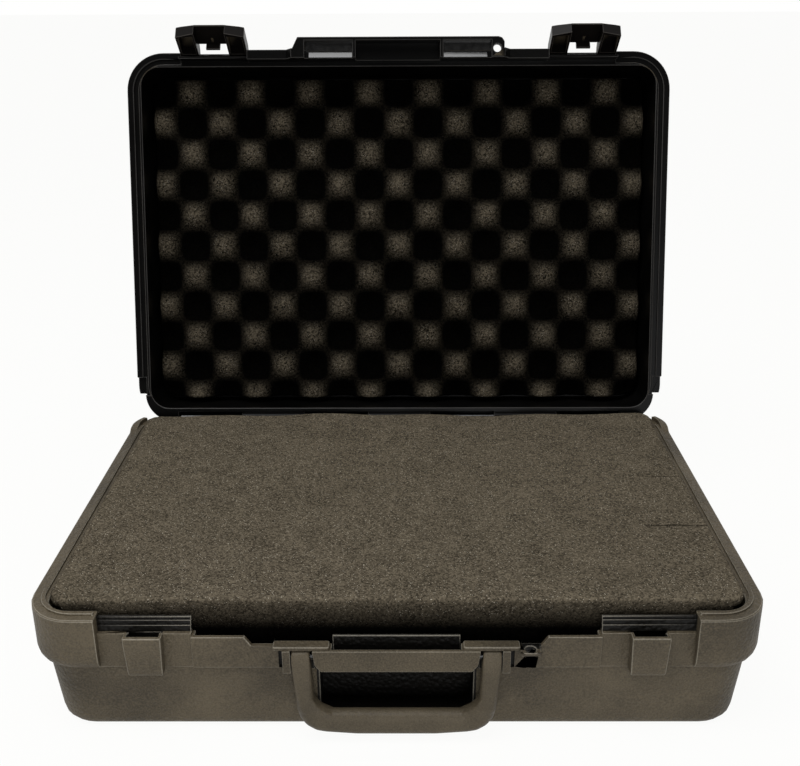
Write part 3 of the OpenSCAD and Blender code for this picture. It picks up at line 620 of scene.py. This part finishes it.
# %% [markdown]
# ## Foam block in the base
# The block is cut from a sheet of open-cell foam, so its sides are straight and its upper
# edge is only a little rounded. It stands 7 mm proud of the rim. Where it has been pulled
# at, old cuts show as slits. A grid with more lines near the edges and at the slits takes
# all of this as moves of its points, which cloth could not do on a stiff block.

# %% Grid lines that crowd at the edges and at chosen places
EDGE_STEPS = [0.0, 0.4, 1.0, 1.8, 2.8, 4.0, 5.6, 7.6]
SLIT_STEPS = [-0.9, -0.35, 0.0, 0.35, 0.9]


def grid_lines(half, step, places=()):
    inner = half - EDGE_STEPS[-1] * MM
    middle = np.linspace(-inner, inner, int(2 * inner / step) + 1)
    for place in places:
        middle = middle[np.abs(middle - place) > 1.6 * MM]
        middle = np.append(middle, [place + s * MM for s in SLIT_STEPS])
    edge = np.array(EDGE_STEPS[:-1]) * MM
    return np.sort(np.concatenate([-half + edge, middle, half - edge]))


# %% Bend the square corners of a grid into round ones
def round_corners(x, y, half_w, half_d, r):
    a = np.maximum(np.abs(x) - (half_w - r), 0.0) / r
    b = np.maximum(np.abs(y) - (half_d - r), 0.0) / r
    both = (a > 0) & (b > 0)
    k = np.where(both, np.maximum(a, b) / np.maximum(np.hypot(a, b), 1e-9), 1.0)
    return (np.sign(x) * (np.minimum(np.abs(x), half_w - r) + k * a * r),
            np.sign(y) * (np.minimum(np.abs(y), half_d - r) + k * b * r))


# %% Slow waves of a hand-cut surface
WAVE_COUNT = 9
wave_set = [(rng.uniform(15, 75), rng.uniform(15, 75), rng.uniform(0, 6.28))
            for _ in range(WAVE_COUNT)]


def waves(x, y):
    return sum(np.sin(kx * x + ky * y + p) for kx, ky, p in wave_set) / len(wave_set)


# %% Slits: how far they sink, sway and paint shade into the grid, and how far they cut into the front
CUT_HALF = 0.6 * MM


def cut_slits(gx, gy, middle, half_d, x_slits, y_slits):
    sink, sway, dark, cut = (np.zeros_like(gx) for _ in range(4))
    for slit in y_slits:
        away = np.abs(gy - (slit["at"] - middle.y))
        along = np.clip((gx + middle.x - slit["from"]) / (5 * MM), 0, 1)
        along *= np.clip((slit["to"] - gx - middle.x) / (3 * MM), 0, 1)
        sink += slit["depth"] * along * np.clip(1 - away / CUT_HALF, 0, 1)
        sway += 0.5 * MM * np.sin(gx * 260) * along * np.clip(1 - away / (6 * MM), 0, 1)
        # Painted shade inside each slit
        dark += slit["dark"] * along * (away < CUT_HALF)
    for slit in x_slits:
        away = np.abs(gx - (slit["at"] - middle.x))
        near_front = np.clip((-half_d + 7 * MM - gy) / (7 * MM), 0, 1)
        cut += slit["depth"] * np.clip(1 - away / CUT_HALF, 0, 1) * near_front
    return sink, sway, dark, cut


# %% The top of a block as a grid of points, and how much painted shade each of them gets
FULL_SHADE_AT = 21 * MM


def foam_top(low, high, corner, soft, step, x_slits, y_slits, notch):
    half_w, half_d = (high.x - low.x) / 2, (high.y - low.y) / 2
    middle = (high + low) / 2
    xs = grid_lines(half_w, step, [s["at"] - middle.x for s in x_slits])
    ys = grid_lines(half_d, step, [s["at"] - middle.y for s in y_slits])
    gx, gy = np.meshgrid(xs, ys)
    inward = np.minimum(half_w - np.abs(gx), half_d - np.abs(gy))
    drop = soft - np.sqrt(np.maximum(soft ** 2 - np.maximum(soft - inward, 0.0) ** 2, 0.0))
    sink, sway, dark, cut = cut_slits(gx, gy, middle, half_d, x_slits, y_slits)
    tucked_x, tucked_y = round_corners(gx, gy, half_w, half_d, corner)
    tucked_y += sway
    if notch and high.z < notch[2]:
        over = (np.abs(tucked_x + middle.x) < notch[0]) & (tucked_y + middle.y < notch[1])
        tucked_y = np.where(over, notch[1] - middle.y, tucked_y)
    near_back = np.clip((gy - half_d + 30 * MM) / (30 * MM), 0, 1)
    gz = high.z - drop + 0.5 * MM * waves(gx, gy) - sink - 0.4 * cut
    gz += 1.6 * MM * near_back * np.sin(gx * 47 + 1.3) * np.sin(gx * 21)
    # Painted shade from how far the top drops, faster near the ends, and in the slits
    at_side = half_w - np.abs(gx) < 1.5 * soft
    depth = np.clip(drop / FULL_SHADE_AT * np.where(at_side, 3.0, 1.0) + dark, 0, 1)
    return np.stack([tucked_x + middle.x, tucked_y + cut + middle.y, gz], -1), depth


# %% One level of a block's sides, t of the way down, and how much painted shade each point gets
def foam_side(rim, t, low, high, low_inset, notch):
    half_w, half_d = (high.x - low.x) / 2, (high.y - low.y) / 2
    middle = (high + low) / 2
    level = rim.copy()
    narrowing = 1 - t * low_inset / half_w
    level[:, 0] = middle.x + (rim[:, 0] - middle.x) * narrowing
    level[:, 1] = middle.y + (rim[:, 1] - middle.y) * narrowing
    level[:, 2] = rim[:, 2] + (low.z - rim[:, 2]) * t
    from_middle = level[:, 1] - middle.y
    outward = np.sign(from_middle) * (np.abs(from_middle) > half_d - 8 * MM)
    level[:, 1] -= outward * 0.5 * MM * (1 + waves(level[:, 0], level[:, 2] * 2))
    if notch:
        over = (np.abs(level[:, 0]) < notch[0]) & (level[:, 1] < notch[1])
        level[over & (level[:, 2] < notch[2]), 1] = notch[1]
    # Painted shade down the sides, faster near the ends
    at_side = np.abs(level[:, 0] - middle.x) > half_w - 9 * MM
    depth = (high.z - level[:, 2]) / FULL_SHADE_AT * np.where(at_side, 4.0, 1.0)
    return level, np.clip(depth, 0, 1)


# %% The faces of a grid, and the loop of points round it
def grid_faces(nx, ny):
    return [(j * nx + i, j * nx + i + 1, (j + 1) * nx + i + 1, (j + 1) * nx + i)
            for j in range(ny - 1) for i in range(nx - 1)]


def grid_rim(nx, ny):
    return (list(range(nx)) + [j * nx + nx - 1 for j in range(1, ny)]
            + [(ny - 1) * nx + i for i in range(nx - 2, -1, -1)]
            + [j * nx for j in range(ny - 2, 0, -1)])


# %% A block with a top grid, straight sides and a flat underside
SIDE_LEVELS, ROUGH_LEVELS = 19, 6


def foam_block(name, low, high, corner, soft, step, x_slits=(), y_slits=(), low_inset=0.0,
               notch=None, rough=0.0):
    grid, grid_depth = foam_top(low, high, corner, soft, step, x_slits, y_slits, notch)
    ny, nx = grid_depth.shape
    top, faces, last = grid.reshape(-1, 3), grid_faces(nx, ny), grid_rim(nx, ny)
    rim, count, start = top[last], len(last), len(top)
    points, depth = [top], [grid_depth.reshape(-1)]
    for t in np.linspace(0, 1, SIDE_LEVELS + 1)[1:]:
        level, level_depth = foam_side(rim, t, low, high, low_inset, notch)
        points.append(level)
        depth.append(level_depth)
        this = list(range(start, start + count))
        faces += [(last[k], this[k], this[(k + 1) % count], last[(k + 1) % count])
                  for k in range(count)]
        last, start = this, start + count
    faces.append(tuple(reversed(last)))
    points = np.concatenate(points)
    shell = slice(0, len(top) + ROUGH_LEVELS * count)
    points[shell] += rng.uniform(-rough, rough, points[shell].shape)
    obj = mesh_object(name, points, faces)
    field = obj.data.attributes.new("depth", "FLOAT", "POINT")
    field.data.foreach_set("value", np.concatenate(depth).astype(np.float32))
    obj.data.shade_smooth()
    return obj


# %% The block and the pad under it
# The notch makes room for the finger recess: half width, back and top
NOTCH = (0.0545, -0.1320, 0.0570)
low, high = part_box("base_foam")
pad_low, pad_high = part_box("base_foam_pad")
slits_across = [{"at": -0.0537, "from": 0.1765, "to": 0.2230, "depth": 4.5 * MM, "dark": 1.0},
                {"at": 0.0235, "from": 0.1950, "to": 0.2195, "depth": 1.6 * MM, "dark": 0.35}]
slits_down = [{"at": -0.0785, "depth": 1.0 * MM}]
block = foam_block("foam_block", low, high, 11 * MM, 2.6 * MM, 2.1 * MM, slits_down, slits_across,
                   low_inset=5 * MM, notch=NOTCH, rough=0.14 * MM)
settle(block, "base", "foam", block_foam, "base_foam")
pad = foam_block("foam_pad", pad_low, pad_high, 14 * MM, 2 * MM, 9 * MM, notch=NOTCH)
settle(pad, "base", "foam", block_foam, "base_foam_pad")

# %% [markdown]
# ## Egg-crate foam in the lid
# Convoluted foam is cut by squeezing a sheet between pegged rollers, and its surface follows
# a rule: the product of two cosines, which puts a peak on every other crossing of a grid.
# Geometry Nodes write that rule straight onto a dense slab, with the sizes as inputs. The
# tree also stores how deep each point lies, for the foam's painted shade.

# %% The rule as a node tree
crate_tree = bpy.data.node_groups.new("Egg-crate", "GeometryNodeTree")
crate_inputs = {}
sizes = {"Width": 0.4, "Length": 0.3, "Thickness": 0.02, "Cell width": 26.5 * MM,
         "Cell length": 27.4 * MM, "Row shift": 4.5 * MM, "Valley": 14 * MM, "Roughness": 0.5 * MM}
for label, kind, value in ([(label, FLOAT, size) for label, size in sizes.items()]
                           + [("Finish", "NodeSocketMaterial", None)]):
    socket = crate_tree.interface.new_socket(label, in_out="INPUT", socket_type=kind)
    crate_inputs[label] = socket.identifier
    if value is not None:
        socket.default_value = value
crate_tree.interface.new_socket("Geometry", in_out="OUTPUT", socket_type="NodeSocketGeometry")
given = crate_tree.nodes.new("NodeGroupInput").outputs
result = crate_tree.nodes.new("NodeGroupOutput")


def crate_math(operation, a, b=0.0, c=0.0):
    return add(crate_tree, "ShaderNodeMath", {0: a, 1: b, 2: c}, operation=operation).outputs[0]


# %% The slab, and how far the rule sinks each of its points
slab_size = add(crate_tree, "ShaderNodeCombineXYZ",
                {0: given["Width"], 1: given["Length"], 2: given["Thickness"]})
slab = add(crate_tree, "GeometryNodeMeshCube", {"Size": slab_size.outputs[0], "Vertices X": 231,
                                                "Vertices Y": 155, "Vertices Z": 5})
at = add(crate_tree, "ShaderNodeSeparateXYZ",
         {0: crate_tree.nodes.new("GeometryNodeInputPosition").outputs[0]}).outputs
turn_x = crate_math("DIVIDE", crate_math("MULTIPLY", at[0], math.pi), given["Cell width"])
row = crate_math("SUBTRACT", at[1], given["Row shift"])
turn_y = crate_math("DIVIDE", crate_math("MULTIPLY", row, math.pi), given["Cell length"])
wave = crate_math("MULTIPLY", crate_math("COSINE", turn_x), crate_math("COSINE", turn_y))
sunk = crate_math("MULTIPLY_ADD", wave, -0.5, 0.5)
half = crate_math("MULTIPLY", given["Thickness"], 0.5)
share = crate_math("DIVIDE", crate_math("SUBTRACT", half, at[2]), given["Thickness"])
lift = crate_math("MULTIPLY", crate_math("MULTIPLY", sunk, given["Valley"]), share)

# %% Move the points, note their depth and coat the foam
pores = add(crate_tree, "ShaderNodeTexNoise", {"Scale": 420.0, "Detail": 2.0})
fuzz = crate_math("MULTIPLY", crate_math("SUBTRACT", pores.outputs[0], 0.5), given["Roughness"])
fuzz = crate_math("MULTIPLY", crate_math("MULTIPLY", fuzz, share), 4.0)
offset = add(crate_tree, "ShaderNodeCombineXYZ", {2: crate_math("ADD", lift, fuzz)})
bent = add(crate_tree, "GeometryNodeSetPosition",
           {"Geometry": slab.outputs[0], "Offset": offset.outputs[0]})
noted = add(crate_tree, "GeometryNodeStoreNamedAttribute",
            {"Geometry": bent.outputs[0], "Name": "depth", "Value": sunk}, data_type="FLOAT")
smooth = add(crate_tree, "GeometryNodeSetShadeSmooth", {"Geometry": noted.outputs[0]})
plain = add(crate_tree, "GeometryNodeRealizeInstances", {"Geometry": smooth.outputs[0]})
coated = add(crate_tree, "GeometryNodeSetMaterial",
             {"Geometry": plain.outputs[0], "Material": given["Finish"]})
crate_tree.links.new(coated.outputs[0], result.inputs[0])
print("the egg-crate tree has", len(crate_tree.nodes), "nodes")

# %% Make the lid foam and turn it open
closed = [to_open.inverted() @ v.co for v in frame["nodes"]["lid_foam"].data.vertices]
foam_low = Vector([min(p[k] for p in closed) for k in range(3)])
foam_high = Vector([max(p[k] for p in closed) for k in range(3)])
foam_size = foam_high - foam_low
crate = mesh_object("egg_crate_foam", [(0, 0, 0)], [])
waffle = crate.modifiers.new("Egg-crate", "NODES")
waffle.node_group = crate_tree
sizes.update(zip(("Width", "Length", "Thickness"), foam_size))
sizes["Row shift"] -= (foam_low.y + foam_high.y) / 2
for label, value in {**sizes, "Finish": crate_foam}.items():
    waffle[crate_inputs[label]] = value
apply_modifiers(crate)
points = np.zeros(len(crate.data.vertices) * 3)
crate.data.vertices.foreach_get("co", points)
points = points.reshape(-1, 3)
points[:, 0], points[:, 1] = round_corners(points[:, 0], points[:, 1], foam_size.x / 2,
                                           foam_size.y / 2, 12 * MM)
points += (foam_low + foam_high) / 2
crate.data.vertices.foreach_set("co", points.ravel())
crate.data.transform(to_open)
crate.data.update()
settle(crate, "lid", "foam", crate_foam, "lid_foam")

# %% [markdown]
# ## Stage, light and camera
# The photograph has a white, evenly lit ground and soft light from above and in front. The
# floor and the world are white to the camera and to reflections, and only modestly bright
# to the case, so its colours come out as they are written.

# %% Floor
floor = mesh_object("floor", [(-9, -6, 0), (9, -6, 0), (9, 12, 0), (-9, 12, 0)], [(0, 1, 2, 3)])
floor_paint, tree, shader, place = new_material("Pale floor", 0.8, 0.1)
shader.inputs["Base Color"].default_value = (0.80, 0.80, 0.79, 1.0)
glow = add(tree, "ShaderNodeEmission", {"Color": (1.0, 1.0, 0.99, 1.0), "Strength": 1.0})
path = tree.nodes.new("ShaderNodeLightPath")
seen = math_node(tree, "MAXIMUM", path.outputs["Is Camera Ray"], path.outputs["Is Glossy Ray"])
seen = math_node(tree, "MAXIMUM", seen, path.outputs["Is Transmission Ray"])
blend = add(tree, "ShaderNodeMixShader", {0: math_node(tree, "MULTIPLY", seen, 0.95),
                                          1: shader.outputs[0], 2: glow.outputs[0]})
tree.links.new(blend.outputs[0], tree.nodes["Material Output"].inputs["Surface"])
floor.data.materials.append(floor_paint)
print("the floor is", floor.dimensions.x, "m wide")

# %% [markdown]
# Shiny black plastic shows what stands round it. In the photograph that is a white room
# beyond the case and a dim one behind the camera, so reflections fade from white to grey
# as they turn that way.

# %% World
world = bpy.data.worlds.new("Pale room")
bpy.context.scene.world = world
world.use_nodes = True
tree = world.node_tree
path = tree.nodes.new("ShaderNodeLightPath")
way = tree.nodes.new("ShaderNodeTexCoord").outputs["Generated"]
toward = add(tree, "ShaderNodeSeparateXYZ", {0: way})
room = add(tree, "ShaderNodeMapRange", {"Value": toward.outputs[1], "To Min": 0.10, "To Max": 1.0,
                                        "From Min": -0.7, "From Max": 0.25})
shine = math_node(tree, "MULTIPLY", path.outputs["Is Glossy Ray"], room.outputs[0])
plain_sight = math_node(tree, "MAXIMUM", path.outputs["Is Camera Ray"],
                        path.outputs["Is Transmission Ray"])
diffuse = math_node(tree, "MULTIPLY", path.outputs["Is Diffuse Ray"], 0.34)
strength = math_node(tree, "MAXIMUM", shine, plain_sight)
strength = math_node(tree, "MAXIMUM", strength, diffuse)
tree.links.new(strength, tree.nodes["Background"].inputs["Strength"])
tree.nodes["Background"].inputs["Color"].default_value = (1.0, 1.0, 0.995, 1.0)
print("the room has", len(tree.nodes), "nodes")


# %% [markdown]
# Two large square lamps stand for the studio's soft boxes: one above, which lights the foam
# and the lid's ramps, and a weaker one in front, which keeps the front wall readable. Small
# lamps would be simpler to place, but they throw hard shadows that the photograph lacks.

# %% Lamps
def soft_lamp(name, place, aim, size, watts):
    data = bpy.data.lights.new(name, "AREA")
    data.shape, data.size, data.energy = "SQUARE", size, watts
    lamp = bpy.data.objects.new(name, data)
    lamp.location = place
    lamp.rotation_euler = (Vector(aim) - Vector(place)).to_track_quat("-Z", "Y").to_euler()
    bpy.context.scene.collection.objects.link(lamp)
    print(name, "gives", watts, "W")


soft_lamp("Soft box above", (-0.35, -0.55, 1.75), (0, 0, 0.1), 1.1, 22.0)
soft_lamp("Front fill", (0.35, -2.2, 0.34), (0, 0, 0.1), 0.9, 13.0)

# %% [markdown]
# The camera was fitted to the photograph: it stands a little right of the middle, 46 cm up,
# and looks down by about 21.6 degrees, with hardly any roll.

# %% Camera
LENS_MM, SENSOR_MM = 47.06, 36.0
CAMERA_AT = Vector((6.92, -707.68, 462.10)) * MM
PITCH, YAW, ROLL = 0.37618, -0.00698, 0.00483
forward = Vector((math.sin(YAW) * math.cos(PITCH), math.cos(YAW) * math.cos(PITCH),
                  -math.sin(PITCH)))
level = Vector((math.cos(YAW), -math.sin(YAW), 0))
downward = forward.cross(level)
right = math.cos(ROLL) * level + math.sin(ROLL) * downward
up = math.sin(ROLL) * level - math.cos(ROLL) * downward
data = bpy.data.cameras.new("Camera")
data.lens, data.sensor_width = LENS_MM, SENSOR_MM
data.clip_start, data.clip_end = 0.01, 50.0
camera = bpy.data.objects.new("Camera", data)
turned = Matrix((right, up, -forward)).transposed().to_4x4()
camera.matrix_world = Matrix.Translation(CAMERA_AT) @ turned
bpy.context.scene.collection.objects.link(camera)
bpy.context.scene.camera = camera
bpy.context.scene.view_settings.view_transform = "Standard"
print("the camera stands", round(CAMERA_AT.length, 2), "m from the origin")
